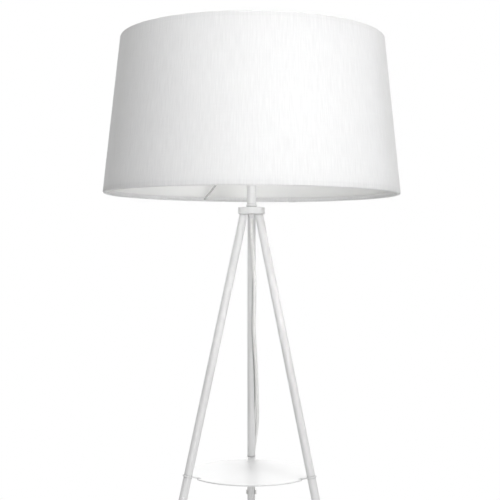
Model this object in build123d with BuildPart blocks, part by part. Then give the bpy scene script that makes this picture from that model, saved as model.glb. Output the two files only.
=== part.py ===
"""Tripod floor lamp: tapered drum shade, slim tube legs, a round shelf between them and a mains lead.

Millimetres, +Z up. The origin is on the floor, under the middle of the stem. -Y is the front.
"""

from build123d import *

import os
from math import atan2, ceil, cos, degrees, hypot, pi, radians, sin, tan

os.makedirs("parts", exist_ok=True)

# Driving sizes: tripod
hub_underside_z = 1236.0
hub_d = 40.7
hub_h = 10.5
hub_top_fillet = 0.8
hub_bottom_fillet = 2.0
leg_tilt = 13.3
leg_circle_r = 13.0
leg_d = 12.5
leg_wall = 1.2
left_leg_angle = 210.0
right_leg_angle = 330.0
rear_leg_angle = 90.0
upper_leg_l = 396.7
middle_leg_l = 433.0
leg_socket_depth = 1.6
stud_d = 6.0
stud_l = 7.0
stud_plug_l = 14.0
nut_plug_l = 16.0
foot_d = 16.5
foot_h = 16.0
foot_sole = 4.0

# Driving sizes: shelf
shelf_d = 187.5
shelf_t = 2.0
shelf_edge_fillet = 0.6
ear_w = 13.4
ear_tip = 7.8
ear_bend_r = 86.0
ear_slit = 1.0

# Driving sizes: stem and its hollow threaded rod
rod_d = 10.0
rod_bore_d = 7.4
bead_d = 16.2
bead_h = 5.1
bead_fillet = 2.2
stem_d = 14.0
stem_wall = 1.5
stem_l = 52.4
gland_d = 11.8
gland_tip_d = 10.2
gland_hex = 12.4
gland_hex_h = 3.0
gland_sides = 6
gland_h = 6.5
gland_floor = 2.0

# Driving sizes: lampholder
holder_neck_d = 17.0
holder_neck_h = 3.0
holder_cap_d = 38.4
holder_cap_h = 20.0
holder_wall = 2.0
rod_in_holder = 9.0
skirt_d = 39.5
skirt_h = 34.0
skirt_bore_d = 32.0
skirt_lip_d = 30.0
skirt_lip_h = 3.0
skirt_spigot_h = 3.0
ledge_d = 29.0
ledge_h = 1.0
ridge_pitch = 3.0
ridge_h = 0.5
insert_h = 5.0
contact_shell_d = 28.7
contact_shell_wall = 0.6
contact_shell_h = 21.0
tongue_t = 0.6
tongue_w = 5.0
tongue_foot = 6.0
tongue_rise = 1.6
terminal_size = 5.0
terminal_h = 5.0
terminal_x = 7.0
core_d = 2.2
core_bend_r = 1.0
ring_seat_above_holder = 34.6
shade_ring_d = 55.0
lower_ring_h = 6.5
upper_ring_h = 6.0
ring_notch_d = 2.4
ring_notches = 24

# Driving sizes: bulb
tip_d = 9.0
tip_h = 1.6
glass_ring_d = 23.0
glass_ring_h = 4.9
bulb_cap_d = 26.7
bulb_cap_wall = 0.8
bulb_cap_h = 19.5
housing_neck_d = 28.0
housing_d = 58.0
housing_h = 34.0
housing_wall = 2.0
housing_spigot_h = 2.5
globe_d = 60.0
globe_wall = 1.2

# Driving sizes: shade
shade_bottom_d = 448.0
shade_top_d = 398.0
shade_h = 234.0
fabric_t = 0.6
liner_t = 0.8
roll_r = 2.0
lap_h = 7.3
wire_d = 4.0
spoke_d = 3.2
spoke_angles = (112.5, 232.5, 352.5)
spider_drop = 70.5
washer_d = 64.0
washer_t = 2.0

# Driving sizes: lead, clips, tie
cord_d = 5.5
cord_arc_share = 0.45
clip_wall = 2.1
clip_h = 8.0
clip_opening = 70.0
clip_loop_wall = 1.4
clip_snap = 4.6
clip_below_shelf = 60.8
clip_above_joint = 12.0
clip_above_foot = 115.0
coil_r = 44.0
coil_gap = 0.5
coil_turns_in = 3.5
coil_turns_climb = 0.5
coil_turns_out = 3.0
coil_centre = (40.0, -33.5)
tie_t = 1.2
tie_w = 9.0

# Driving sizes: foot switch
switch_centre = (84.0, 130.0)
switch_w = 36.0
switch_l = 86.0
switch_h = 25.0
switch_corner = 14.0
switch_wall = 2.0
switch_top_fillet = 5.0
switch_cord_z = 9.0
button_d = 22.0
button_proud = 3.5
button_flange = 2.0
plunger_d = 8.0
plunger_l = 9.0
spring_d = 12.0
spring_wire = 1.0
spring_post_d = 14.0
spring_post_h = 6.0
contact_w = 6.0
contact_t = 1.0
contact_h = 9.0
contact_y = 17.0
screw_y = 31.0
screw_d = 3.0
screw_head_d = 5.4
screw_head_h = 2.0
screw_sink = 1.5
screw_post_d = 8.0
screw_bite = 9.0
relief_l = 26.0
relief_d = 10.0
relief_tip_d = 7.2
relief_collar_d = 10.4
relief_collar_t = 2.0
relief_neck_d = 8.0

# Driving sizes: plug
plug_x = 81.0
plug_rear_y = -141.0
plug_w = 35.0
plug_rear_w = 14.0
plug_l = 37.0
plug_shoulder = 14.0
plug_t = 14.0
plug_fillet = 2.5
plug_lift = 0.2
pin_d = 4.0
pin_l = 19.0
pin_root = 8.0
pin_root_d = 3.2
pin_spacing = 18.6
pin_tip_fillet = 1.5

# Clearances
press = 0.02
thread_gap = 0.1
slip = 0.3
glue = 0.05
seat_gap = 0.1

# Values that follow from the driving sizes
leg_r = leg_d / 2
tilt = radians(leg_tilt)
leg_azimuths = {"left": left_leg_angle, "right": right_leg_angle, "rear": rear_leg_angle}
floor_reach = hub_underside_z / cos(tilt)
ear_reach = upper_leg_l + shelf_t
middle_reach = ear_reach + middle_leg_l
lower_reach = floor_reach - foot_sole
hub_top_z = hub_underside_z + hub_h
bead_top_z = hub_top_z + bead_h
holder_z = bead_top_z + stem_l
gland_bottom_z = hub_underside_z - gland_h
skirt_z = holder_z + holder_cap_h
insert_z = skirt_z + ledge_h
insert_top_z = insert_z + insert_h
seat_z = holder_z + ring_seat_above_holder
cord_r = cord_d / 2


def save(builder, name):
    """Labels a finished piece and writes it as its own node."""
    builder.part.label = name
    export_step(builder.part, f"parts/{name}.step")


def leg_plane(azimuth, reach):
    """Plane square to a leg, `reach` down its axis from the hub's underside; its x points outward."""
    turn = radians(azimuth)
    outward = Vector(cos(turn), sin(turn), 0)
    up_leg = Vector(0, 0, cos(tilt)) - outward * sin(tilt)
    top = outward * leg_circle_r + Vector(0, 0, hub_underside_z)
    across = outward * cos(tilt) + Vector(0, 0, sin(tilt))
    return Plane(origin=top - up_leg * reach, x_dir=across, z_dir=up_leg)


# Hub: a turned disc with three slanted seats and tapped holes for the legs
with BuildPart() as hub:
    with BuildSketch(Plane.XY.offset(hub_underside_z)):
        Circle(hub_d / 2)
        Circle(rod_d / 2 + seat_gap, mode=Mode.SUBTRACT)
    extrude(amount=hub_h)
    outer_rims = hub.edges().filter_by(GeomType.CIRCLE).filter_by(lambda e: e.radius > hub_d / 2 - glue)
    fillet(outer_rims.sort_by(Axis.Z)[-1], radius=hub_top_fillet)
    fillet(outer_rims.sort_by(Axis.Z)[0], radius=hub_bottom_fillet)
    for azimuth in leg_azimuths.values():
        with BuildSketch(leg_plane(azimuth, -leg_socket_depth)):
            Circle(leg_r + seat_gap)
        extrude(amount=-hub_h, mode=Mode.SUBTRACT)
        with BuildSketch(leg_plane(azimuth, -leg_socket_depth)):
            Circle(stud_d / 2 + thread_gap)
        extrude(amount=stud_l + slip, mode=Mode.SUBTRACT)
save(hub, "hub")

# Legs: three straight tubes in each leg, screwed end to end
leg_spans = {
    "upper": (-leg_socket_depth, upper_leg_l),
    "middle": (ear_reach, middle_reach),
    "lower": (middle_reach, lower_reach),
}
for side, azimuth in leg_azimuths.items():
    for section, (top, bottom) in leg_spans.items():
        with BuildPart() as leg:
            with BuildSketch(leg_plane(azimuth, bottom)):
                Circle(leg_r)
                Circle(leg_r - leg_wall, mode=Mode.SUBTRACT)
            extrude(amount=bottom - top)
        save(leg, f"leg_{section}_{side}")

# Stud plugs: pressed into the top of every tube, with a threaded stud standing out of it
with BuildPart() as stud_plugs:
    for azimuth in leg_azimuths.values():
        for top, _ in leg_spans.values():
            with BuildSketch(leg_plane(azimuth, top)):
                Circle(leg_r - leg_wall - press)
            extrude(amount=-stud_plug_l)
            with BuildSketch(leg_plane(azimuth, top)):
                Circle(stud_d / 2)
            extrude(amount=stud_l)
save(stud_plugs, "leg_stud_plugs")

# Nut plugs: pressed into the foot of the upper and middle tubes, bored for the next stud
with BuildPart() as nut_plugs:
    for azimuth in leg_azimuths.values():
        for bottom in (upper_leg_l, middle_reach):
            with BuildSketch(leg_plane(azimuth, bottom)):
                Circle(leg_r - leg_wall - press)
                Circle(stud_d / 2 + thread_gap, mode=Mode.SUBTRACT)
            extrude(amount=nut_plug_l)
save(nut_plugs, "leg_nut_plugs")

# Feet: soft caps on the leg ends, cut level with the floor
for side, azimuth in leg_azimuths.items():
    with BuildPart() as foot:
        with BuildSketch(leg_plane(azimuth, floor_reach + foot_d)):
            Circle(foot_d / 2)
        extrude(amount=foot_d + foot_h)
        split(bisect_by=Plane.XY, keep=Keep.TOP)
        with BuildSketch(leg_plane(azimuth, lower_reach)):
            Circle(leg_r + press)
        extrude(amount=foot_h, mode=Mode.SUBTRACT)
    save(foot, f"foot_{side}")

# Shelf: a flat disc with three ears, slit free at their sides, bent up square to the legs and clamped there
ear_point = leg_plane(rear_leg_angle, upper_leg_l + shelf_t / 2).origin
shelf_z = ear_point.Z - (ear_point.Y - ear_bend_r) * tan(tilt)
ear_l = (ear_point.Y - ear_bend_r) / cos(tilt)
ear_root = ear_bend_r - ear_w
ear_round = ear_tip - ear_w / 2
with BuildPart() as shelf:
    with BuildSketch(Plane.XY.offset(shelf_z - shelf_t / 2)):
        Circle(shelf_d / 2)
        for azimuth in leg_azimuths.values():
            with Locations(Location((0, 0, 0), (0, 0, azimuth))):
                with Locations((ear_bend_r + ear_w, 0)):
                    Rectangle(2 * ear_w, ear_w + 2 * ear_slit, mode=Mode.SUBTRACT)
    extrude(amount=shelf_t)
    fillet(shelf.edges().filter_by(GeomType.CIRCLE), radius=shelf_edge_fillet)
    for azimuth in leg_azimuths.values():
        turn = radians(azimuth)
        radial = Plane(
            origin=(0, 0, shelf_z),
            x_dir=(cos(turn), sin(turn), 0),
            z_dir=(sin(turn), -cos(turn), 0),
        )
        half = shelf_t / 2
        mitre = half * tan(tilt / 2)
        tip_x = ear_bend_r + (ear_l + ear_round) * cos(tilt)
        tip_z = (ear_l + ear_round) * sin(tilt)
        with BuildSketch(radial):
            with BuildLine():
                Polyline(
                    (ear_root, -half),
                    (ear_bend_r + mitre, -half),
                    (tip_x + half * sin(tilt), tip_z - half * cos(tilt)),
                    (tip_x - half * sin(tilt), tip_z + half * cos(tilt)),
                    (ear_bend_r - mitre, half),
                    (ear_root, half),
                    close=True,
                )
            make_face()
        extrude(amount=ear_w / 2, both=True)
        with BuildSketch(leg_plane(azimuth, ear_reach)):
            with Locations((ear_round, 0)):
                Circle(ear_w / 2)
        extrude(amount=shelf_t)
        with BuildSketch(leg_plane(azimuth, ear_reach)):
            Circle(stud_d / 2 + slip)
        extrude(amount=shelf_t, mode=Mode.SUBTRACT)
save(shelf, "shelf")

# Threaded rod: the hollow rod that clamps hub, bead, stem and lampholder, with the lead inside
rod_bottom_z = gland_bottom_z + gland_floor
rod_top_z = holder_z + rod_in_holder
with BuildPart() as rod:
    with BuildSketch(Plane.XY.offset(rod_bottom_z)):
        Circle(rod_d / 2)
        Circle(rod_bore_d / 2, mode=Mode.SUBTRACT)
    extrude(amount=rod_top_z - rod_bottom_z)
save(rod, "threaded_rod")

# Bead: the rounded collar between hub and stem
with BuildPart() as bead:
    with BuildSketch(Plane.XY.offset(hub_top_z)):
        Circle(bead_d / 2)
    extrude(amount=bead_h)
    fillet(bead.edges().filter_by(GeomType.CIRCLE), radius=bead_fillet)
    with BuildSketch(Plane.XY.offset(hub_top_z)):
        Circle(rod_d / 2 + seat_gap)
    extrude(amount=bead_h, mode=Mode.SUBTRACT)
save(bead, "stem_bead")

# Stem: the short tube that carries the lampholder
with BuildPart() as stem:
    with BuildSketch(Plane.XY.offset(bead_top_z)):
        Circle(stem_d / 2)
        Circle(stem_d / 2 - stem_wall, mode=Mode.SUBTRACT)
    extrude(amount=stem_l)
save(stem, "stem")

# Cord gland: a hexagon nut with a tapered nose on the rod's lower end, with the cord's hole in its floor
with BuildPart() as gland:
    with BuildSketch(Plane.XZ):
        with BuildLine():
            Polyline(
                (cord_r + seat_gap, gland_bottom_z),
                (gland_tip_d / 2, gland_bottom_z),
                (gland_d / 2, hub_underside_z - gland_floor),
                (gland_d / 2, hub_underside_z),
                (rod_d / 2 + press, hub_underside_z),
                (rod_d / 2 + press, rod_bottom_z),
                (cord_r + seat_gap, rod_bottom_z),
                close=True,
            )
        make_face()
    revolve(axis=Axis.Z)
    with BuildSketch(Plane.XY.offset(hub_underside_z - gland_hex_h)):
        RegularPolygon(gland_hex / 2, gland_sides, major_radius=False)
        Circle(rod_d / 2 + press, mode=Mode.SUBTRACT)
    extrude(amount=gland_hex_h)
save(gland, "cord_gland")

# Lampholder cap: the lower half, screwed on the rod
cap_r = holder_cap_d / 2
neck_r = holder_neck_d / 2
cap_shoulder_z = holder_z + holder_neck_h + (cap_r - neck_r)
with BuildPart() as holder_cap:
    with BuildSketch(Plane.XZ):
        with BuildLine():
            Polyline(
                (rod_d / 2 + press, holder_z),
                (neck_r, holder_z),
                (neck_r, holder_z + holder_neck_h),
                (cap_r, cap_shoulder_z),
                (cap_r, skirt_z),
                (cap_r - holder_wall, skirt_z),
                (cap_r - holder_wall, cap_shoulder_z + holder_wall),
                (neck_r + holder_wall, rod_top_z),
                (rod_d / 2 + press, rod_top_z),
                close=True,
            )
        make_face()
    revolve(axis=Axis.Z)
save(holder_cap, "holder_cap")

# Lampholder skirt: the upper half, ridged outside for the two shade rings
skirt_top_z = skirt_z + skirt_h
spigot_r = cap_r - holder_wall - seat_gap
with BuildPart() as skirt:
    with BuildSketch(Plane.XZ):
        with BuildLine():
            Polyline(
                (ledge_d / 2, skirt_z - skirt_spigot_h),
                (spigot_r, skirt_z - skirt_spigot_h),
                (spigot_r, skirt_z),
                (skirt_d / 2 - ridge_h, skirt_z),
                (skirt_d / 2 - ridge_h, skirt_top_z),
                (skirt_lip_d / 2, skirt_top_z),
                (skirt_lip_d / 2, skirt_top_z - skirt_lip_h),
                (skirt_bore_d / 2, skirt_top_z - skirt_lip_h),
                (skirt_bore_d / 2, insert_z),
                (ledge_d / 2, insert_z),
                close=True,
            )
        make_face()
    revolve(axis=Axis.Z)
    for ridge in range(1, int(skirt_h / ridge_pitch)):
        with BuildSketch(Plane.XY.offset(skirt_z + ridge * ridge_pitch)):
            Circle(skirt_d / 2)
            Circle(skirt_bore_d / 2 + holder_wall, mode=Mode.SUBTRACT)
        extrude(amount=ridge_pitch / 2)
save(skirt, "holder_skirt")

# Lampholder insert: the insulating floor that carries the contacts
with BuildPart() as insert:
    with BuildSketch(Plane.XY.offset(insert_z)):
        Circle(skirt_bore_d / 2 - slip)
    extrude(amount=insert_h)
save(insert, "holder_insert")

# Contact shell: the brass screw shell, plain inside
with BuildPart() as contact_shell:
    with BuildSketch(Plane.XY.offset(insert_top_z)):
        Circle(contact_shell_d / 2)
        Circle(contact_shell_d / 2 - contact_shell_wall, mode=Mode.SUBTRACT)
    extrude(amount=contact_shell_h)
save(contact_shell, "contact_shell")

# Centre contact: a spring tongue under the bulb's tip
with BuildPart() as tongue:
    with BuildSketch(Plane.XZ):
        with BuildLine():
            Polyline(
                (-2 * tongue_foot, insert_top_z),
                (-tongue_foot, insert_top_z),
                (tip_d / 2, insert_top_z + tongue_rise),
                (tip_d / 2, insert_top_z + tongue_rise + tongue_t),
                (-tongue_foot, insert_top_z + tongue_t),
                (-2 * tongue_foot, insert_top_z + tongue_t),
                close=True,
            )
        make_face()
    extrude(amount=tongue_w / 2, both=True)
save(tongue, "centre_contact")

# Terminals: two brass blocks under the insert
terminal_z = insert_z - terminal_h
with BuildPart() as terminals:
    with BuildSketch(Plane.XY.offset(terminal_z)):
        with Locations((terminal_x, 0), (-terminal_x, 0)):
            Rectangle(terminal_size, terminal_size)
    extrude(amount=terminal_h)
save(terminals, "holder_terminals")

# Lead inside the stem, and its two cores up to the terminals
inner_cord_top_z = rod_top_z + cord_r
with BuildPart() as inner_cord:
    with BuildSketch(Plane.XY.offset(gland_bottom_z)):
        Circle(cord_r)
    extrude(amount=inner_cord_top_z - gland_bottom_z)
save(inner_cord, "cord_in_stem")

for name, way in {"core_live": 1, "core_neutral": -1}.items():
    start_x = way * (core_d / 2 + glue)
    end_x = way * terminal_x
    spread = (terminal_z - inner_cord_top_z) / 4
    with BuildPart() as core:
        with BuildLine() as core_path:
            FilletPolyline(
                (start_x, 0, inner_cord_top_z),
                (start_x, 0, inner_cord_top_z + spread),
                (end_x, 0, terminal_z - spread),
                (end_x, 0, terminal_z),
                radius=core_bend_r,
            )
        with BuildSketch(Plane(origin=(start_x, 0, inner_cord_top_z), z_dir=(0, 0, 1))):
            Circle(core_d / 2)
        sweep(path=core_path.wires()[0])
    save(core, name)


def shade_ring(bottom_z, height):
    """A threaded clamping ring with finger notches round its rim."""
    with BuildPart() as ring:
        with BuildSketch(Plane.XY.offset(bottom_z)):
            Circle(shade_ring_d / 2)
            Circle(skirt_d / 2 + thread_gap, mode=Mode.SUBTRACT)
            with PolarLocations(shade_ring_d / 2, ring_notches):
                Circle(ring_notch_d / 2, mode=Mode.SUBTRACT)
        extrude(amount=height)
    return ring


# Shade rings: the lower one is the seat, the upper one clamps the shade's washer
save(shade_ring(seat_z - lower_ring_h, lower_ring_h), "shade_ring_lower")
washer_top_z = seat_z + washer_t
save(shade_ring(washer_top_z + seat_gap, upper_ring_h), "shade_ring_upper")

# Bulb: tip, glass ring, screw cap, housing and globe, from the bottom up
tip_z = insert_top_z + tongue_rise + tongue_t + seat_gap
glass_z = tip_z + tip_h
bulb_cap_z = glass_z + glass_ring_h
housing_z = bulb_cap_z + bulb_cap_h
globe_z = housing_z + housing_h
with BuildPart() as tip:
    with BuildSketch(Plane.XY.offset(tip_z)):
        Circle(tip_d / 2)
    extrude(amount=tip_h)
    fillet(tip.edges().filter_by(GeomType.CIRCLE).sort_by(Axis.Z)[0], radius=tip_h / 2)
save(tip, "bulb_tip")

with BuildPart() as glass_ring:
    with BuildSketch(Plane.XZ):
        with BuildLine():
            Polyline(
                (0, glass_z),
                (tip_d / 2 + seat_gap, glass_z),
                (glass_ring_d / 2, bulb_cap_z),
                (0, bulb_cap_z),
                close=True,
            )
        make_face()
    revolve(axis=Axis.Z)
save(glass_ring, "bulb_glass_ring")

bulb_cap_r = bulb_cap_d / 2 - ridge_h
with BuildPart() as bulb_cap:
    with BuildSketch(Plane.XY.offset(bulb_cap_z)):
        Circle(bulb_cap_r)
    extrude(amount=bulb_cap_h)
    for ridge in range(1, int(bulb_cap_h / ridge_pitch)):
        with BuildSketch(Plane.XY.offset(bulb_cap_z + ridge * ridge_pitch)):
            Circle(bulb_cap_d / 2)
        extrude(amount=ridge_pitch / 2)
    with BuildSketch(Plane.XY.offset(bulb_cap_z + bulb_cap_wall)):
        Circle(bulb_cap_r - bulb_cap_wall)
    extrude(amount=bulb_cap_h, mode=Mode.SUBTRACT)
save(bulb_cap, "bulb_screw_cap")

housing_spigot_r = bulb_cap_r - bulb_cap_wall - glue
with BuildPart() as housing:
    with BuildSketch(Plane.XZ):
        with BuildLine():
            Polyline(
                (housing_spigot_r - housing_wall, housing_z - housing_spigot_h),
                (housing_spigot_r, housing_z - housing_spigot_h),
                (housing_spigot_r, housing_z),
                (housing_neck_d / 2, housing_z),
                (housing_d / 2, globe_z),
                (housing_d / 2 - housing_wall, globe_z),
                (housing_spigot_r - housing_wall, housing_z),
                close=True,
            )
        make_face()
    revolve(axis=Axis.Z)
save(housing, "bulb_housing")

globe_r = globe_d / 2
globe_mid_z = globe_z + (globe_r**2 - (housing_d / 2) ** 2) ** 0.5
with BuildPart() as globe:
    with BuildSketch(Plane.XZ):
        with BuildLine():
            outer_foot = (housing_d / 2, globe_z)
            inner_foot = (housing_d / 2 - globe_wall, globe_z)
            outer_top = (0, globe_mid_z + globe_r)
            inner_top = (0, globe_mid_z + globe_r - globe_wall)
            Line(inner_foot, outer_foot)
            ThreePointArc(outer_foot, (globe_r, globe_mid_z), outer_top)
            Line(outer_top, inner_top)
            ThreePointArc(inner_top, (globe_r - globe_wall, globe_mid_z), inner_foot)
        make_face()
    revolve(axis=Axis.Z)
save(globe, "bulb_globe")

# Shade wall: places on it are given up the slope from the bottom edge and outward from its face
taper = atan2((shade_bottom_d - shade_top_d) / 2, shade_h)
slant = shade_h / cos(taper)
liner_out = -fabric_t - glue
liner_in = liner_out - liner_t
wire_out = liner_in - glue - wire_d / 2
wire_up = fabric_t + glue + wire_d / 2
ring_wire_z = seat_z - spider_drop
shade_bottom_z = ring_wire_z - wire_up * cos(taper) - wire_out * sin(taper)


def wall(up, out):
    """Radius and height of a place on the shade wall."""
    radius = shade_bottom_d / 2 - up * sin(taper) + out * cos(taper)
    height = shade_bottom_z + up * cos(taper) + out * sin(taper)
    return (radius, height)


# Liner: a stiff conical skin between the two rolled edges
with BuildPart() as liner:
    with BuildSketch(Plane.XZ):
        with BuildLine():
            Polyline(
                wall(roll_r, liner_out),
                wall(slant - roll_r, liner_out),
                wall(slant - roll_r, liner_in),
                wall(roll_r, liner_in),
                close=True,
            )
        make_face()
    revolve(axis=Axis.Z)
save(liner, "shade_liner")

# Spider: bottom wire ring, three spokes and the centre washer, welded into one piece
wire_r, wire_z = wall(wire_up, wire_out)
spoke_end_r = washer_d / 2 - spoke_d / 2
spoke_rise = seat_z + washer_t / 2 - wire_z
spoke_run = wire_r - spoke_end_r


def spoke_plane(azimuth):
    """Plane at a spoke's outer end, facing along the spoke."""
    turn = radians(azimuth)
    outward = Vector(cos(turn), sin(turn), 0)
    along = Vector(0, 0, spoke_rise) - outward * spoke_run
    return Plane(origin=outward * wire_r + Vector(0, 0, wire_z), z_dir=along)


ring_section = Plane(origin=(wire_r, 0, wire_z), x_dir=(-spoke_run, 0, spoke_rise), z_dir=(0, -1, 0))
with BuildPart() as spider:
    with BuildSketch(ring_section):
        Circle(wire_d / 2)
    revolve(axis=Axis.Z)
    with BuildSketch(Plane.XY.offset(seat_z)):
        Circle(washer_d / 2)
        Circle(skirt_d / 2 + slip, mode=Mode.SUBTRACT)
    extrude(amount=washer_t)
    for azimuth in spoke_angles:
        with BuildSketch(spoke_plane(azimuth)):
            Circle(spoke_d / 2)
        extrude(amount=hypot(spoke_run, spoke_rise))
save(spider, "shade_spider")

# Top ring: the plain wire ring that keeps the top edge round
top_wire_r, top_wire_z = wall(slant - wire_up, wire_out)
with BuildPart() as top_ring:
    with Locations((0, 0, top_wire_z)):
        Torus(top_wire_r, wire_d / 2)
save(top_ring, "shade_top_ring")


# Fabric: the cover on the liner, rolled over both wires and lapped inside, with slits for the spokes
depth = -liner_in + glue + wire_d + glue + fabric_t
over_wire = wire_up + wire_d / 2 + glue
lap = liner_in - glue
inset = roll_r - roll_r * cos(pi / 4)
inner_inset = roll_r - (roll_r - fabric_t) * cos(pi / 4)


def rolled_edge(edge, way):
    """Draws the cover's way round a wire and back; `way` is 1 at the bottom edge and -1 at the top."""

    def at(up, out):
        """Place on the wall, measured up from this edge."""
        return wall(edge + way * up, out)

    ThreePointArc(at(roll_r, 0), at(inset, -inset), at(0, -roll_r))
    Line(at(0, -roll_r), at(0, roll_r - depth))
    ThreePointArc(at(0, roll_r - depth), at(inset, inset - depth), at(roll_r, -depth))
    Polyline(
        at(roll_r, -depth),
        at(over_wire, -depth),
        at(lap_h, lap - fabric_t),
        at(lap_h, lap),
        at(over_wire, fabric_t - depth),
        at(roll_r, fabric_t - depth),
    )
    inner_start = at(roll_r, fabric_t - depth)
    inner_end = at(fabric_t, roll_r - depth)
    ThreePointArc(inner_start, at(inner_inset, inner_inset - depth), inner_end)
    Line(inner_end, at(fabric_t, -roll_r))
    ThreePointArc(at(fabric_t, -roll_r), at(inner_inset, -inner_inset), at(roll_r, -fabric_t))


with BuildPart() as fabric:
    with BuildSketch(Plane.XZ):
        with BuildLine():
            Line(wall(roll_r, 0), wall(slant - roll_r, 0))
            Line(wall(roll_r, -fabric_t), wall(slant - roll_r, -fabric_t))
            rolled_edge(0, 1)
            rolled_edge(slant, -1)
        make_face()
    revolve(axis=Axis.Z)
    for azimuth in spoke_angles:
        with BuildSketch(spoke_plane(azimuth)):
            Circle(spoke_d / 2 + seat_gap)
        extrude(amount=depth * 2, mode=Mode.SUBTRACT)
save(fabric, "shade_fabric")

# Cable clips: snapped on the rear leg from behind, each with an open loop for the lead
clip_r = leg_r + seat_gap + clip_wall
clip_cord = clip_r + seat_gap + cord_r
end_turn = radians(180 - clip_opening)
end_r = clip_r - clip_wall / 2
wedge = 2 * clip_r
clip_places = [ear_reach + clip_below_shelf, middle_reach - clip_above_joint, lower_reach - clip_above_foot]
with BuildPart() as clips:
    for place in clip_places:
        with BuildSketch(leg_plane(rear_leg_angle, place + clip_h / 2)):
            Circle(clip_r)
            with Locations((clip_cord, 0)):
                Circle(cord_r + seat_gap + clip_loop_wall)
                Circle(cord_r + seat_gap, mode=Mode.SUBTRACT)
                with Locations((cord_d, 0)):
                    Rectangle(2 * cord_d, clip_snap, mode=Mode.SUBTRACT)
            Circle(leg_r + seat_gap, mode=Mode.SUBTRACT)
            with BuildLine():
                Polyline(
                    (0, 0),
                    (wedge * cos(end_turn), wedge * sin(end_turn)),
                    (-wedge, wedge * sin(end_turn)),
                    (-wedge, -wedge * sin(end_turn)),
                    (wedge * cos(end_turn), -wedge * sin(end_turn)),
                    close=True,
                )
            make_face(mode=Mode.SUBTRACT)
            with Locations(
                (end_r * cos(end_turn), end_r * sin(end_turn)),
                (end_r * cos(end_turn), -end_r * sin(end_turn)),
            ):
                Circle(clip_wall / 2)
        extrude(amount=clip_h)
save(clips, "cable_clips")

# Lead, from the gland down the rear leg, round its right side and behind it to the floor
leg_route = [
    (0.0, 0.0, 1229.5),
    (0.0, 0.0, 1214.5),
    (0.9, 3.8, 1197.5),
    (2.7, 11.3, 1176.0),
    (4.3, 20.8, 1152.0),
    (5.0, 30.0, 1127.0),
    (4.6, 37.2, 1095.8),
    (3.8, 44.2, 1063.6),
    (5.4, 52.6, 1031.7),
    (7.5, 61.4, 1000.9),
    (8.6, 69.7, 972.0),
    (9.1, 77.6, 945.0),
    (9.9, 87.4, 919.6),
    (8.9, 98.2, 896.5),
    (5.8, 108.3, 872.1),
    (2.2, 116.7, 847.3),
    (0.0, 125.3, 810.4),
    (0.0, 142.3, 738.4),
    (1.0, 159.0, 670.5),
    (0.7, 174.9, 604.3),
    (-0.8, 190.2, 538.1),
    (0.0, 204.8, 473.7),
    (0.0, 221.4, 403.6),
    (-1.0, 238.1, 335.6),
    (-0.6, 254.0, 269.6),
    (0.9, 268.8, 205.2),
    (0.0, 280.8, 152.5),
    (0.0, 295.5, 90.2),
    (2.2, 304.6, 54.0),
    (12.0, 311.0, 25.0),
    (32.0, 313.5, 8.2),
    (57.0, 309.5, 3.0),
    (78.0, 294.0, 3.1),
    (87.5, 270.0, 3.6),
    (86.5, 245.0, 6.6),
    (84.0, 221.5, 9.0),
    (84.0, 199.0, 9.0),
]

# Lead between the switch and the coil, and from the coil to the plug
link_route = [
    (84.0, 61.0, 9.0),
    (84.0, 44.0, 9.0),
    (85.2, 26.0, 7.4),
    (85.2, 8.0, 5.4),
    (84.0, -10.0, 4.4),
    (84.0, -28.0, 4.4),
]
tail_route = [
    (81.0, -39.0, 10.4),
    (81.0, -53.0, 10.4),
    (80.2, -69.0, 9.3),
    (80.2, -85.0, 7.7),
    (81.0, -100.5, 7.2),
    (81.0, -115.0, 7.2),
]


def bend_radii(points):
    """The largest arc that each corner of a route leaves room for."""
    radii = []
    for before, corner, after in zip(points, points[1:], points[2:]):
        run_in = Vector(corner) - Vector(before)
        run_out = Vector(after) - Vector(corner)
        turn = radians(run_in.get_angle(run_out))
        radii.append(cord_arc_share * min(run_in.length, run_out.length) / tan(turn / 2))
    return radii


def lead_tube(points, name):
    """A round lead along a route of straight runs and tangent arcs."""
    radii = bend_radii(points)
    with BuildPart() as tube:
        with BuildLine() as path:
            FilletPolyline(*points, radius=radii)
        with BuildSketch(Plane(origin=points[0], z_dir=Vector(points[1]) - Vector(points[0]))):
            Circle(cord_r)
        sweep(path=path.wires()[0])
    length = path.wires()[0].length
    share = tube.part.volume / (pi * cord_r**2 * length)
    print(name, "length", round(length, 1), "volume share", round(share, 5))
    print(name, "bend radii", [round(radius) for radius in radii], "least", round(min(radii), 1))
    save(tube, name)


lead_tube(leg_route, "cord_on_leg")
lead_tube(link_route, "cord_to_coil")
lead_tube(tail_route, "cord_to_plug")

# Coil: the lead's put-away length, wound inward on the lower layer and outward on the upper one
coil_pitch = cord_d + coil_gap
coil_z = link_route[-1][2]
reversal = coil_turns_in + coil_turns_climb / 2
coil_turns = coil_turns_in + coil_turns_climb + coil_turns_out


def coil_point(turns):
    """Place on the coil after so many turns, running clockwise seen from above."""
    inward = min(turns, reversal)
    outward = max(turns - reversal, 0)
    climbed = min(max(turns - coil_turns_in, 0) / coil_turns_climb, 1)
    radius = coil_r - coil_pitch * inward + coil_pitch * outward
    angle = -2 * pi * turns
    height = coil_z + coil_pitch * (climbed - sin(2 * pi * climbed) / (2 * pi))
    return Vector(
        coil_centre[0] + radius * cos(angle),
        coil_centre[1] + radius * sin(angle),
        height,
    )


def coil_heading(turns):
    """Direction of the coil after so many turns; square to the radius at both ends."""
    if turns in (0, coil_turns):
        return Vector(0, -1, 0)
    step = 0.001
    return (coil_point(turns + step) - coil_point(turns - step)).normalized()


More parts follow.
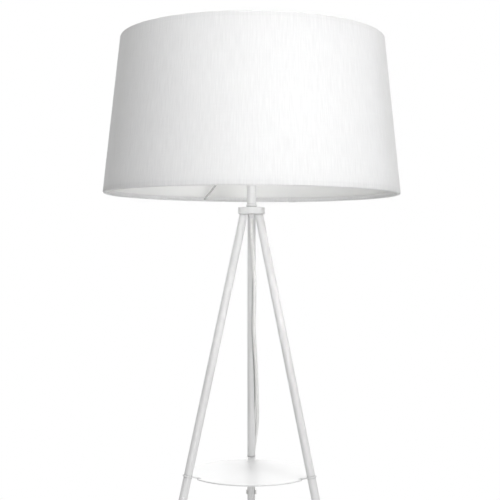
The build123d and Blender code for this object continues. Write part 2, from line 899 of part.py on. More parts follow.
def biarc_joint(start, start_way, end, end_way):
    """Where two arcs meet that join two places, each tangent to its direction there."""
    chord = end - start
    both = start_way + end_way
    square = 2 * (1 - start_way.dot(end_way))
    along = chord.dot(both)
    reach = (-along + (along**2 + square * chord.dot(chord)) ** 0.5) / square
    return (start + start_way * reach + end - end_way * reach) / 2, reach


quarter_turns = ceil(4 * coil_turns)
with BuildPart() as coil:
    with BuildLine() as coil_path:
        first = coil_point(0)
        Line(first - coil_heading(0) * cord_d, first)
        for quarter in range(quarter_turns):
            here = quarter * coil_turns / quarter_turns
            there = (quarter + 1) * coil_turns / quarter_turns
            start, start_way = coil_point(here), coil_heading(here)
            end, end_way = coil_point(there), coil_heading(there)
            joint, reach = biarc_joint(start, start_way, end, end_way)
            joint_way = (end - end_way * reach - start - start_way * reach).normalized()
            TangentArc(start, joint, tangent=start_way)
            TangentArc(joint, end, tangent=joint_way)
        last = coil_point(coil_turns)
        Line(last, last + coil_heading(coil_turns) * cord_d)
    with BuildSketch(Plane(origin=first - coil_heading(0) * cord_d, z_dir=coil_heading(0))):
        Circle(cord_r)
    sweep(path=coil_path.wires()[0])
coil_length = coil_path.wires()[0].length
coil_share = coil.part.volume / (pi * cord_r**2 * coil_length)
print("cord_coil length", round(coil_length, 1), "volume share", round(coil_share, 5))

# Least gap of the coil to itself, on points a third of a diameter apart
point_spacing = cord_d / 3
coil_steps = ceil(coil_length / point_spacing)
coil_points = [coil_path.wires()[0] @ (step / coil_steps) for step in range(coil_steps + 1)]
apart = ceil(2 * pi * cord_d / point_spacing)
least_gap = min(
    (coil_points[i] - coil_points[j]).length
    for i in range(len(coil_points))
    for j in range(i + apart, len(coil_points))
)
print("cord_coil least gap to itself", round(least_gap - cord_d, 3))
save(coil, "cord_coil")

# Coil tie: a flat band round the bundle of turns, on the coil's front side
bundle_w = coil_pitch * coil_turns_in + cord_d
bundle_h = coil_pitch + cord_d
tie_plane = Plane(
    origin=(
        coil_centre[0],
        coil_centre[1] - (coil_r - coil_pitch * coil_turns_in / 2),
        coil_z + coil_pitch / 2,
    ),
    x_dir=(0, 1, 0),
    z_dir=(1, 0, 0),
)
with BuildPart() as tie:
    with BuildSketch(tie_plane):
        RectangleRounded(bundle_w + 2 * slip + 2 * tie_t, bundle_h + 2 * slip + 2 * tie_t, cord_r + tie_t)
        RectangleRounded(bundle_w + 2 * slip, bundle_h + 2 * slip, cord_r, mode=Mode.SUBTRACT)
    extrude(amount=tie_w / 2, both=True)
save(tie, "coil_tie")


def tapered_relief(mouth, way, collar):
    """A strain relief that narrows from a housing's wall towards the lead; `way` points out of the wall."""
    with BuildPart() as relief:
        with BuildSketch(Plane(origin=mouth, z_dir=way)):
            Circle(relief_d / 2)
        with BuildSketch(Plane(origin=Vector(mouth) + Vector(way) * relief_l, z_dir=way)):
            Circle(relief_tip_d / 2)
        loft()
        if collar:
            with BuildSketch(Plane(origin=mouth, z_dir=way)):
                Circle(relief_neck_d / 2)
            extrude(amount=-switch_wall - slip - relief_collar_t)
            behind = Vector(mouth) - Vector(way) * (switch_wall + slip)
            with BuildSketch(Plane(origin=behind, z_dir=way)):
                Circle(relief_collar_d / 2)
            extrude(amount=-relief_collar_t)
    return relief


# Foot switch base: the lower shell, with a post for the spring and two for the screws
switch_x, switch_y = switch_centre
screw_places = [(switch_x, switch_y + screw_y), (switch_x, switch_y - screw_y)]
inner_w = switch_w - 2 * switch_wall
inner_l = switch_l - 2 * switch_wall
inner_corner = switch_corner - switch_wall
spring_seat_z = switch_wall + spring_post_h
ceiling_z = switch_h - switch_wall
switch_ends = {1: switch_y + switch_l / 2, -1: switch_y - switch_l / 2}
screw_seat_z = screw_sink + screw_head_h
with BuildPart() as switch_base:
    with BuildSketch():
        with Locations(switch_centre):
            RectangleRounded(switch_w, switch_l, switch_corner)
    extrude(amount=switch_cord_z)
    with BuildSketch(Plane.XY.offset(switch_wall)):
        with Locations(switch_centre):
            RectangleRounded(inner_w, inner_l, inner_corner)
    extrude(amount=switch_cord_z, mode=Mode.SUBTRACT)
    with BuildSketch(Plane.XY.offset(switch_wall)):
        with Locations(switch_centre):
            Circle(spring_post_d / 2)
    extrude(amount=spring_post_h)
    with BuildSketch():
        with Locations(*screw_places):
            Circle(screw_post_d / 2)
    extrude(amount=switch_cord_z)
    with BuildSketch():
        with Locations(*screw_places):
            Circle(screw_d / 2 + seat_gap)
    extrude(amount=switch_cord_z, mode=Mode.SUBTRACT)
    with BuildSketch():
        with Locations(*screw_places):
            Circle(screw_head_d / 2 + seat_gap)
    extrude(amount=screw_seat_z, mode=Mode.SUBTRACT)
    for way, end_y in switch_ends.items():
        with BuildSketch(Plane(origin=(switch_x, end_y, switch_cord_z), z_dir=(0, way, 0))):
            Circle(relief_neck_d / 2 + seat_gap)
        extrude(amount=-2 * switch_wall, mode=Mode.SUBTRACT)
save(switch_base, "switch_base")

# Foot switch cover: the upper shell, with the button's hole and two screw bosses
with BuildPart() as switch_cover:
    with BuildSketch(Plane.XY.offset(switch_cord_z)):
        with Locations(switch_centre):
            RectangleRounded(switch_w, switch_l, switch_corner)
    extrude(amount=switch_h - switch_cord_z)
    fillet(switch_cover.faces().sort_by(Axis.Z)[-1].edges(), radius=switch_top_fillet)
    with BuildSketch(Plane.XY.offset(switch_cord_z)):
        with Locations(switch_centre):
            RectangleRounded(inner_w, inner_l, inner_corner)
    extrude(amount=switch_h - switch_cord_z - switch_top_fillet, mode=Mode.SUBTRACT)
    with BuildSketch(Plane.XY.offset(switch_h - switch_top_fillet)):
        with Locations(switch_centre):
            RectangleRounded(inner_w - switch_top_fillet, inner_l - switch_top_fillet, inner_corner)
    extrude(amount=switch_top_fillet - switch_wall, mode=Mode.SUBTRACT)
    with BuildSketch(Plane.XY.offset(ceiling_z)):
        with Locations(switch_centre):
            Circle(button_d / 2 + slip)
    extrude(amount=switch_wall, mode=Mode.SUBTRACT)
    with BuildSketch(Plane.XY.offset(switch_cord_z)):
        with Locations(*screw_places):
            Circle(screw_post_d / 2)
            Circle(screw_d / 2 + press, mode=Mode.SUBTRACT)
    extrude(amount=ceiling_z - switch_cord_z)
    for way, end_y in switch_ends.items():
        with BuildSketch(Plane(origin=(switch_x, end_y, switch_cord_z), z_dir=(0, way, 0))):
            Circle(relief_neck_d / 2 + seat_gap)
        extrude(amount=-2 * switch_wall, mode=Mode.SUBTRACT)
save(switch_cover, "switch_cover")

# Switch screws: two pan-head screws from below
with BuildPart() as switch_screws:
    with BuildSketch(Plane.XY.offset(screw_sink)):
        with Locations(*screw_places):
            Circle(screw_head_d / 2)
    extrude(amount=screw_head_h)
    with BuildSketch(Plane.XY.offset(screw_seat_z)):
        with Locations(*screw_places):
            Circle(screw_d / 2)
    extrude(amount=switch_cord_z - screw_seat_z + screw_bite)
save(switch_screws, "switch_screws")

# Push button: a round cap held in by its flange, with a plunger under it
flange_top_z = ceiling_z - seat_gap
flange_z = flange_top_z - button_flange
with BuildPart() as button:
    with BuildSketch(Plane.XY.offset(flange_z)):
        with Locations(switch_centre):
            Circle(button_d / 2)
    extrude(amount=switch_h + button_proud - flange_z)
    fillet(button.edges().filter_by(GeomType.CIRCLE).sort_by(Axis.Z)[-1], radius=button_flange)
    with BuildSketch(Plane.XY.offset(flange_z)):
        with Locations(switch_centre):
            Circle(button_d / 2 + button_flange)
    extrude(amount=button_flange)
    with BuildSketch(Plane.XY.offset(flange_z - plunger_l)):
        with Locations(switch_centre):
            Circle(plunger_d / 2)
    extrude(amount=plunger_l)
save(button, "switch_button")

# Button spring: the sleeve that the spring's turns fill
with BuildPart() as spring:
    with BuildSketch(Plane.XY.offset(spring_seat_z)):
        with Locations(switch_centre):
            Circle(spring_d / 2)
            Circle(spring_d / 2 - spring_wire, mode=Mode.SUBTRACT)
    extrude(amount=flange_z - seat_gap - spring_seat_z)
save(spring, "switch_spring")

# Switch contacts: two brass blades standing in the base
with BuildPart() as contacts:
    with BuildSketch(Plane.XY.offset(switch_wall)):
        with Locations((switch_x, switch_y + contact_y), (switch_x, switch_y - contact_y)):
            Rectangle(contact_w, contact_t)
    extrude(amount=contact_h)
save(contacts, "switch_contacts")

# Strain reliefs of the switch
inlet = tapered_relief((switch_x, switch_ends[1], switch_cord_z), (0, 1, 0), True)
save(inlet, "switch_relief_in")
outlet = tapered_relief((switch_x, switch_ends[-1], switch_cord_z), (0, -1, 0), True)
save(outlet, "switch_relief_out")

# Plug: a flat two-pin body with its pins and strain relief
plug_front_y = plug_rear_y - plug_l
plug_cord_z = plug_lift + plug_t / 2
with BuildPart() as plug:
    with BuildSketch(Plane.XY.offset(plug_lift)):
        with BuildLine():
            Polyline(
                (plug_x - plug_rear_w / 2, plug_rear_y),
                (plug_x + plug_rear_w / 2, plug_rear_y),
                (plug_x + plug_w / 2, plug_rear_y - plug_shoulder),
                (plug_x + plug_w / 2, plug_front_y),
                (plug_x - plug_w / 2, plug_front_y),
                (plug_x - plug_w / 2, plug_rear_y - plug_shoulder),
                close=True,
            )
        make_face()
    extrude(amount=plug_t)
    fillet(plug.edges().filter_by(Axis.Z), radius=plug_fillet)
    fillet(plug.faces().sort_by(Axis.Z)[-1].edges(), radius=plug_fillet)
    fillet(plug.faces().sort_by(Axis.Z)[0].edges(), radius=plug_fillet)
    with BuildSketch(Plane(origin=(plug_x, plug_front_y, plug_cord_z), x_dir=(1, 0, 0), z_dir=(0, -1, 0))):
        with Locations((pin_spacing / 2, 0), (-pin_spacing / 2, 0)):
            Circle(pin_root_d / 2 + press)
    extrude(amount=-pin_root, mode=Mode.SUBTRACT)
save(plug, "plug_body")

with BuildPart() as pins:
    pin_face = Plane(origin=(plug_x, plug_front_y, plug_cord_z), x_dir=(1, 0, 0), z_dir=(0, -1, 0))
    with BuildSketch(pin_face):
        with Locations((pin_spacing / 2, 0), (-pin_spacing / 2, 0)):
            Circle(pin_d / 2)
    extrude(amount=pin_l)
    with BuildSketch(pin_face):
        with Locations((pin_spacing / 2, 0), (-pin_spacing / 2, 0)):
            Circle(pin_root_d / 2)
    extrude(amount=-pin_root)
    fillet(pins.edges().group_by(Axis.Y)[0], radius=pin_tip_fillet)
save(pins, "plug_pins")

save(tapered_relief((plug_x, plug_rear_y, plug_cord_z), (0, 1, 0), False), "plug_relief")

print("shade top", round(shade_bottom_z + shade_h, 2), "shade bottom", round(shade_bottom_z, 2))
print("shelf", round(shelf_z, 2), "foot circle radius", round(leg_circle_r + hub_underside_z * tan(tilt), 2))
print("shade taper", round(degrees(taper), 2), "stem top", round(holder_z, 2), "ring seat", round(seat_z, 2))
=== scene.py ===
from math import atan2, cos, hypot, pi, radians, sin

import bmesh
import bpy
from mathutils import Matrix, Vector, noise


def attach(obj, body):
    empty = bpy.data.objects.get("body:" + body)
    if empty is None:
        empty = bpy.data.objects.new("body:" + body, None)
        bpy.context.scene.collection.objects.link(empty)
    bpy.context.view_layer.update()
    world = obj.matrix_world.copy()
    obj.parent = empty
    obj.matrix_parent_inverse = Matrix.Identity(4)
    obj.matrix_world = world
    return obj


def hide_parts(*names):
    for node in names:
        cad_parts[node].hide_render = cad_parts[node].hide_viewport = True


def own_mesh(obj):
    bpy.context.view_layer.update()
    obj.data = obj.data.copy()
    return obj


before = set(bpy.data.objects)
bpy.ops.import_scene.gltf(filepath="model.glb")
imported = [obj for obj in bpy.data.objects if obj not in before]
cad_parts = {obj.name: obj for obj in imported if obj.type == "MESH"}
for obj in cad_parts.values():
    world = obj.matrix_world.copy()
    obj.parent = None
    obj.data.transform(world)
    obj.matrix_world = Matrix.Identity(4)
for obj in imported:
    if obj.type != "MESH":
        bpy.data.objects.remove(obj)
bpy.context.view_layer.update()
scene = bpy.context.scene

# Camera: the photograph's viewpoint, level, a little above the middle of the lamp and square to it.
# Its place and lens were worked out from the ellipses of the shade and the lines of the legs.
camera_distance = 1.575
camera_height = 1.176
camera_azimuth = radians(0.92)
camera_roll = radians(0.3)
focal_px = 1038.0
image_px = 500.0
horizon_px = 253.8
axis_px = 251.3
sensor_mm = 36.0
camera_near = 0.05

camera_data = bpy.data.cameras.new("photo_camera")
camera_data.sensor_width = sensor_mm
camera_data.lens = sensor_mm * focal_px / image_px
camera_data.shift_x = (image_px / 2 - axis_px) / image_px
camera_data.shift_y = (horizon_px - image_px / 2) / image_px
camera_data.clip_start = camera_near
camera = bpy.data.objects.new("photo_camera", camera_data)
scene.collection.objects.link(camera)
look = Vector((-sin(camera_azimuth), cos(camera_azimuth), 0))
level = Vector((cos(camera_azimuth), sin(camera_azimuth), 0))
across = level * cos(camera_roll) + Vector((0, 0, sin(camera_roll)))
above = across.cross(look)
camera.matrix_world = Matrix((across, above, -look)).transposed().to_4x4()
camera.location = Vector((0, 0, camera_height)) - look * camera_distance
scene.camera = camera

# Studio: a pale room with a large soft box overhead, a key box high at the front right, a smaller one in
# front, a narrow low one that looks up at the shade, and one behind. The floor is a round painted board
# that keeps the lamp's shadow; the white behind it is the room.
scene.view_settings.view_transform = "Standard"
room_strength = 0.3
floor_radius = 1.5
floor_sides = 96
floor_gap = 0.0005


def linear(hex_colour):
    """The scene's linear colour for an sRGB hex value."""
    channels = [int(hex_colour[i:i + 2], 16) / 255 for i in (1, 3, 5)]
    return [c / 12.92 if c <= 0.04045 else ((c + 0.055) / 1.055) ** 2.4 for c in channels] + [1.0]


def add_node(tree, kind, inputs=(), **settings):
    """Adds a node with its settings; an input is a plain value or another node's output."""
    made = tree.nodes.new(kind)
    for name, value in settings.items():
        setattr(made, name, value)
    for socket, value in dict(inputs).items():
        if isinstance(value, bpy.types.NodeSocket):
            tree.links.new(value, made.inputs[socket])
        else:
            made.inputs[socket].default_value = value
    return made


world = bpy.data.worlds.new("studio_room")
world.use_nodes = True
scene.world = world
room = world.node_tree
room.nodes.clear()
rays = add_node(room, "ShaderNodeLightPath")
seen = add_node(room, "ShaderNodeMath", {0: rays.outputs["Is Camera Ray"], 1: rays.outputs["Is Glossy Ray"]},
                operation="MAXIMUM")
seen = add_node(room, "ShaderNodeMath", {0: seen.outputs[0], 1: rays.outputs["Is Transmission Ray"]},
                operation="MAXIMUM")
strength = add_node(room, "ShaderNodeMapRange",
                    {"Value": seen.outputs[0], "To Min": room_strength, "To Max": 1.0})
white_room = add_node(room, "ShaderNodeBackground",
                      {"Color": linear("#ffffff"), "Strength": strength.outputs["Result"]})
add_node(room, "ShaderNodeOutputWorld", {"Surface": white_room.outputs[0]})


def soft_box(name, place, aim, size, power, spread=180):
    """A square studio light that points at a place on the lamp; a small spread narrows its beam."""
    data = bpy.data.lights.new(name, "AREA")
    data.size = size
    data.energy = power
    data.spread = radians(spread)
    light = bpy.data.objects.new(name, data)
    scene.collection.objects.link(light)
    light.location = place
    light.rotation_euler = (Vector(aim) - Vector(place)).to_track_quat("-Z", "Y").to_euler()


middle = (0, 0, 1.2)
shade_mouth = (0, 0, 1.3)
shade_wall = (0, 0, 1.42)
soft_box("key_box", place=(1.36, -1.92, 2.4), aim=middle, size=1.5, power=28.0)
soft_box("front_box", place=(-0.21, -2.39, 1.05), aim=shade_mouth, size=0.8, power=7.0)
soft_box("low_box", place=(0.62, -2.32, 0.75), aim=shade_wall, size=0.5, power=0.6, spread=24)
soft_box("top_box", place=(0, -0.15, 3.2), aim=middle, size=2.2, power=36.0)
soft_box("back_box", place=(-0.13, 1.9, 2.6), aim=middle, size=1.7, power=36.0)


def new_object(name, mesh):
    """Links a mesh as an object at the origin, smooth shaded."""
    made = bpy.data.objects.new(name, mesh)
    scene.collection.objects.link(made)
    for polygon in mesh.polygons:
        polygon.use_smooth = True
    return made


def blank_material(name):
    """A new material and its emptied node tree."""
    material = bpy.data.materials.new(name)
    material.use_nodes = True
    material.node_tree.nodes.clear()
    return material, material.node_tree


def board_paint():
    """Matt white wall paint, rolled on: faint roller stipple a few millimetres across."""
    material, tree = blank_material("matt_white_board")
    stipple_mm = 6.0
    place = add_node(tree, "ShaderNodeTexCoord")
    stipple = add_node(tree, "ShaderNodeTexNoise",
                       {"Vector": place.outputs["Object"], "Scale": 1000 / stipple_mm, "Detail": 3.0})
    paint = add_node(tree, "ShaderNodeValToRGB", {"Fac": stipple.outputs["Fac"]})
    paint.color_ramp.elements[0].color = linear("#f3f3f2")
    paint.color_ramp.elements[1].color = linear("#f7f7f6")
    relief = add_node(tree, "ShaderNodeBump",
                      {"Height": stipple.outputs["Fac"], "Strength": 0.05, "Distance": 0.0005})
    surface = add_node(tree, "ShaderNodeBsdfPrincipled",
                       {"Base Color": paint.outputs["Color"], "Roughness": 0.85, "Normal": relief.outputs[0]})
    add_node(tree, "ShaderNodeOutputMaterial", {"Surface": surface.outputs[0]})
    return material


floor_mesh = bpy.data.meshes.new("floor_board")
build = bmesh.new()
bmesh.ops.create_circle(build, cap_ends=True, radius=floor_radius, segments=floor_sides)
build.to_mesh(floor_mesh)
build.free()
floor_mesh.materials.append(board_paint())
floor = new_object("floor_board", floor_mesh)
floor.location.z = -floor_gap

# Hub and legs: a turned steel disc with three sockets, and 12.5 mm tubes in three lengths screwed end to
# end. They are powder coated before they are put together, so the joints stay as fine lines.


def powder_coat(name, painted_corner_shade_depth):
    """Powder-coated steel: baked polyester, semi-gloss, with the soft orange peel of the melted powder.

    Its second argument is the share by which painted shade darkens the corners.
    """
    material, tree = blank_material(name)
    # Orange peel runs about 1.5 mm from crest to crest, and the film's thickness drifts over a hand's
    # breadth. Corners where two pieces meet get painted shade, darkened by ambient occlusion.
    peel_mm = 1.5
    drift_mm = 70.0
    painted_corner_shade_mm = 3.0
    place = add_node(tree, "ShaderNodeTexCoord")
    peel = add_node(tree, "ShaderNodeTexNoise",
                    {"Vector": place.outputs["Object"], "Scale": 1000 / peel_mm, "Detail": 1.0})
    drift = add_node(tree, "ShaderNodeTexNoise",
                     {"Vector": place.outputs["Object"], "Scale": 1000 / drift_mm, "Detail": 4.0})
    tone = add_node(tree, "ShaderNodeValToRGB", {"Fac": drift.outputs["Fac"]})
    tone.color_ramp.elements[0].position = 0.3
    tone.color_ramp.elements[0].color = linear("#e1e1e1")
    tone.color_ramp.elements[1].position = 0.7
    tone.color_ramp.elements[1].color = linear("#e5e5e5")
    # Painted shade: ambient occlusion darkens the colour within a few millimetres of corners and joints.
    corner = add_node(tree, "ShaderNodeAmbientOcclusion",
                      {"Color": tone.outputs["Color"], "Distance": painted_corner_shade_mm / 1000})
    colour = add_node(tree, "ShaderNodeMixRGB",
                      {"Fac": painted_corner_shade_depth, "Color1": tone.outputs["Color"],
                       "Color2": corner.outputs["Color"]})
    gloss = add_node(tree, "ShaderNodeMapRange",
                     {"Value": drift.outputs["Fac"], "To Min": 0.27, "To Max": 0.35})
    relief = add_node(tree, "ShaderNodeBump",
                      {"Height": peel.outputs["Fac"], "Strength": 0.1, "Distance": 0.0002})
    surface = add_node(tree, "ShaderNodeBsdfPrincipled",
                       {"Base Color": colour.outputs["Color"], "Roughness": gloss.outputs["Result"],
                        "IOR": 1.5, "Normal": relief.outputs[0]})
    add_node(tree, "ShaderNodeOutputMaterial", {"Surface": surface.outputs[0]})
    return material


def dress(material, *names):
    """Gives solid pieces their finish."""
    for name in names:
        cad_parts[name].data.materials[0] = material


coated_steel = powder_coat("white_powder_coat", painted_corner_shade_depth=0.8)
leg_sides = ("left", "right", "rear")
dress(coated_steel, "hub")
for length in ("upper", "middle", "lower"):
    dress(coated_steel, *[f"leg_{length}_{side}" for side in leg_sides])

# Leg plugs: turned steel pieces pressed into the tube ends, a stud on one side of each joint and a nut on
# the other. They are zinc plated, and show only as a dark line at the joints.


def zinc_plate():
    """Zinc-plated steel, turned and dipped: bluish grey, half matt, with a faint spangle of crystals."""
    material, tree = blank_material("zinc_plated_steel")
    spangle_mm = 1.5
    place = add_node(tree, "ShaderNodeTexCoord")
    spangle = add_node(tree, "ShaderNodeTexVoronoi",
                       {"Vector": place.outputs["Object"], "Scale": 1000 / spangle_mm})
    tone = add_node(tree, "ShaderNodeValToRGB", {"Fac": spangle.outputs["Distance"]})
    tone.color_ramp.elements[0].color = linear("#b9bdc3")
    tone.color_ramp.elements[1].color = linear("#cfd2d6")
    gloss = add_node(tree, "ShaderNodeMapRange",
                     {"Value": spangle.outputs["Distance"], "To Min": 0.3, "To Max": 0.45})
    surface = add_node(tree, "ShaderNodeBsdfPrincipled",
                       {"Base Color": tone.outputs["Color"], "Metallic": 1.0,
                        "Roughness": gloss.outputs["Result"]})
    add_node(tree, "ShaderNodeOutputMaterial", {"Surface": surface.outputs[0]})
    return material


zinc_steel = zinc_plate()
dress(zinc_steel, "leg_stud_plugs", "leg_nut_plugs")

# Feet: soft caps pushed over the leg ends, cut level so that they stand flat on the floor.
# Moulded in pale thermoplastic rubber, which picks up a little dust near the floor.


def pale_rubber():
    """Thermoplastic rubber, moulded in an eroded tool: matt pale grey with a fine grain and a dusty hem."""
    material, tree = blank_material("pale_rubber")
    grain_mm = 0.8
    dust_mm = 9.0
    dust_height = 0.006
    place = add_node(tree, "ShaderNodeTexCoord")
    grain = add_node(tree, "ShaderNodeTexNoise",
                     {"Vector": place.outputs["Object"], "Scale": 1000 / grain_mm, "Detail": 2.0})
    dust = add_node(tree, "ShaderNodeTexNoise",
                    {"Vector": place.outputs["Object"], "Scale": 1000 / dust_mm, "Detail": 4.0})
    height = add_node(tree, "ShaderNodeSeparateXYZ", {"Vector": place.outputs["Object"]})
    low = add_node(tree, "ShaderNodeMapRange",
                   {"Value": height.outputs["Z"], "From Max": dust_height, "To Min": 1.0, "To Max": 0.0})
    dusty = add_node(tree, "ShaderNodeMath", {0: low.outputs["Result"], 1: dust.outputs["Fac"]},
                     operation="MULTIPLY")
    tone = add_node(tree, "ShaderNodeMixRGB",
                    {"Fac": dusty.outputs[0], "Color1": linear("#dcdcda"), "Color2": linear("#b4afa6")})
    relief = add_node(tree, "ShaderNodeBump",
                      {"Height": grain.outputs["Fac"], "Strength": 0.25, "Distance": 0.0002})
    surface = add_node(tree, "ShaderNodeBsdfPrincipled",
                       {"Base Color": tone.outputs["Color"], "Roughness": 0.75, "IOR": 1.5,
                        "Normal": relief.outputs[0]})
    add_node(tree, "ShaderNodeOutputMaterial", {"Surface": surface.outputs[0]})
    return material


dress(pale_rubber(), *[f"foot_{side}" for side in leg_sides])

# Shelf: a round sheet-steel disc with three ears, slit free at their sides, bent up square to the legs and
# clamped in their joints. Powder coated like the legs, so its flat top mirrors the rear leg softly.
dress(coated_steel, "shelf")

# Stem: a short tube between the hub's beaded collar and the lampholder, held by the hollow threaded rod
# inside it. A hexagon nut with a tapered nose under the hub closes the rod and lets the lead out. All but
# the rod are powder-coated steel, and the nut gets less painted shade in its corners.
dress(coated_steel, "stem_bead", "stem")
dress(powder_coat("white_powder_coat_on_nut", painted_corner_shade_depth=0.15), "cord_gland")
dress(zinc_steel, "threaded_rod")

# Lampholder: white plastic cap and skirt, screwed together round a ceramic block with brass contacts.
# The skirt's outside thread carries the two rings that clamp the shade.


def moulded_plastic():
    """Heat-proof polyester, injection moulded: satin white with the fine eroded grain of the tool."""
    material, tree = blank_material("white_moulded_plastic")
    # The tool's grain is about 0.2 mm, drawn as 0.7 mm so that it shows.
    grain_mm = 0.7
    flow_mm = 30.0
    place = add_node(tree, "ShaderNodeTexCoord")
    grain = add_node(tree, "ShaderNodeTexNoise",
                     {"Vector": place.outputs["Object"], "Scale": 1000 / grain_mm, "Detail": 2.0})
    flow = add_node(tree, "ShaderNodeTexNoise",
                    {"Vector": place.outputs["Object"], "Scale": 1000 / flow_mm, "Detail": 3.0})
    tone = add_node(tree, "ShaderNodeValToRGB", {"Fac": flow.outputs["Fac"]})
    tone.color_ramp.elements[0].position = 0.3
    tone.color_ramp.elements[0].color = linear("#e6e6e4")
    tone.color_ramp.elements[1].position = 0.7
    tone.color_ramp.elements[1].color = linear("#ebebe9")
    gloss = add_node(tree, "ShaderNodeMapRange",
                     {"Value": grain.outputs["Fac"], "To Min": 0.38, "To Max": 0.5})
    relief = add_node(tree, "ShaderNodeBump",
                      {"Height": grain.outputs["Fac"], "Strength": 0.15, "Distance": 0.0001})
    surface = add_node(tree, "ShaderNodeBsdfPrincipled",
                       {"Base Color": tone.outputs["Color"], "Roughness": gloss.outputs["Result"],
                        "IOR": 1.55, "Normal": relief.outputs[0]})
    add_node(tree, "ShaderNodeOutputMaterial", {"Surface": surface.outputs[0]})
    return material


def fired_ceramic():
    """Steatite, pressed and fired: pale ivory, half matt, with fine dark specks of mineral."""
    material, tree = blank_material("steatite")
    speck_mm = 1.0
    place = add_node(tree, "ShaderNodeTexCoord")
    speck = add_node(tree, "ShaderNodeTexNoise",
                     {"Vector": place.outputs["Object"], "Scale": 1000 / speck_mm, "Detail": 4.0})
    tone = add_node(tree, "ShaderNodeValToRGB", {"Fac": speck.outputs["Fac"]})
    tone.color_ramp.elements[0].position = 0.3
    tone.color_ramp.elements[0].color = linear("#cfc9bb")
    tone.color_ramp.elements[1].position = 0.45
    tone.color_ramp.elements[1].color = linear("#e5e1d6")
    surface = add_node(tree, "ShaderNodeBsdfPrincipled",
                       {"Base Color": tone.outputs["Color"], "Roughness": 0.5, "IOR": 1.6})
    add_node(tree, "ShaderNodeOutputMaterial", {"Surface": surface.outputs[0]})
    return material


def pressed_brass():
    """Brass strip, pressed: yellow metal with fine rolling lines and a little tarnish in patches."""
    material, tree = blank_material("pressed_brass")
    tarnish_mm = 6.0
    line_mm = 0.4
    line_length_mm = 4.0
    place = add_node(tree, "ShaderNodeTexCoord")
    tarnish = add_node(tree, "ShaderNodeTexNoise",
                       {"Vector": place.outputs["Object"], "Scale": 1000 / tarnish_mm, "Detail": 4.0})
    stretched = add_node(tree, "ShaderNodeMapping",
                         {"Vector": place.outputs["Object"],
                          "Scale": (1000 / line_mm, 1000 / line_mm, 1000 / line_length_mm)})
    lines = add_node(tree, "ShaderNodeTexNoise",
                     {"Vector": stretched.outputs[0], "Scale": 1.0, "Detail": 1.0})
    tone = add_node(tree, "ShaderNodeValToRGB", {"Fac": tarnish.outputs["Fac"]})
    tone.color_ramp.elements[0].color = linear("#b58f4e")
    tone.color_ramp.elements[1].color = linear("#dfc07c")
    gloss = add_node(tree, "ShaderNodeMapRange",
                     {"Value": lines.outputs["Fac"], "To Min": 0.22, "To Max": 0.4})
    surface = add_node(tree, "ShaderNodeBsdfPrincipled",
                       {"Base Color": tone.outputs["Color"], "Metallic": 1.0,
                        "Roughness": gloss.outputs["Result"]})
    add_node(tree, "ShaderNodeOutputMaterial", {"Surface": surface.outputs[0]})
    return material


plastic = moulded_plastic()
ceramic = fired_ceramic()
brass = pressed_brass()
dress(plastic, "holder_cap", "holder_skirt")
dress(ceramic, "holder_insert")
dress(brass, "contact_shell", "centre_contact", "holder_terminals")

# Lead in the stem: the flex comes up the hollow rod, and its two cores go to the lampholder's terminals.
# Both are extruded PVC, the sheath off-white and the cores brown and blue.


def flexible_pvc():
    """Plasticised PVC, extruded: satin off-white with a faint mottle along the flex."""
    material, tree = blank_material("white_flex_pvc")
    mottle_mm = 7.0
    grain_mm = 1.2
    place = add_node(tree, "ShaderNodeTexCoord")
    mottle = add_node(tree, "ShaderNodeTexNoise",
                      {"Vector": place.outputs["Object"], "Scale": 1000 / mottle_mm, "Detail": 3.0})
    grain = add_node(tree, "ShaderNodeTexNoise",
                     {"Vector": place.outputs["Object"], "Scale": 1000 / grain_mm, "Detail": 2.0})
    tint = add_node(tree, "ShaderNodeValToRGB", {"Fac": mottle.outputs["Fac"]})
    tint.color_ramp.elements[0].position = 0.3
    tint.color_ramp.elements[0].color = linear("#ececea")
    tint.color_ramp.elements[1].position = 0.7
    tint.color_ramp.elements[1].color = linear("#f0f0ee")
    rough = add_node(tree, "ShaderNodeMapRange",
                     {"Value": mottle.outputs["Fac"], "To Min": 0.42, "To Max": 0.55})
    relief = add_node(tree, "ShaderNodeBump",
                      {"Height": grain.outputs["Fac"], "Strength": 0.08, "Distance": 0.0002})
    surface = add_node(tree, "ShaderNodeBsdfPrincipled",
                       {"Base Color": tint.outputs["Color"], "Roughness": rough.outputs["Result"],
                        "IOR": 1.53, "Normal": relief.outputs[0]})
    add_node(tree, "ShaderNodeOutputMaterial", {"Surface": surface.outputs[0]})
    return material


def core_pvc(name, dark, light):
    """Core insulation, extruded: glossy coloured PVC with a slow drift of the dye."""
    material, tree = blank_material(name)
    drift_mm = 5.0
    place = add_node(tree, "ShaderNodeTexCoord")
    drift = add_node(tree, "ShaderNodeTexNoise",
                     {"Vector": place.outputs["Object"], "Scale": 1000 / drift_mm, "Detail": 2.0})
    tone = add_node(tree, "ShaderNodeValToRGB", {"Fac": drift.outputs["Fac"]})
    tone.color_ramp.elements[0].color = linear(dark)
    tone.color_ramp.elements[1].color = linear(light)
    surface = add_node(tree, "ShaderNodeBsdfPrincipled",
                       {"Base Color": tone.outputs["Color"], "Roughness": 0.35, "IOR": 1.53})
    add_node(tree, "ShaderNodeOutputMaterial", {"Surface": surface.outputs[0]})
    return material


flex = flexible_pvc()
dress(flex, "cord_in_stem")
dress(core_pvc("brown_core_pvc", "#4a2b1a", "#5c3722"), "core_live")
dress(core_pvc("blue_core_pvc", "#24488a", "#2f58a0"), "core_neutral")

# Bulb: a screw-in lamp with a nickel-plated cap, a white plastic housing and an opal globe.
# The cap's foot is a fired insulating ring with the brass tip in its middle.


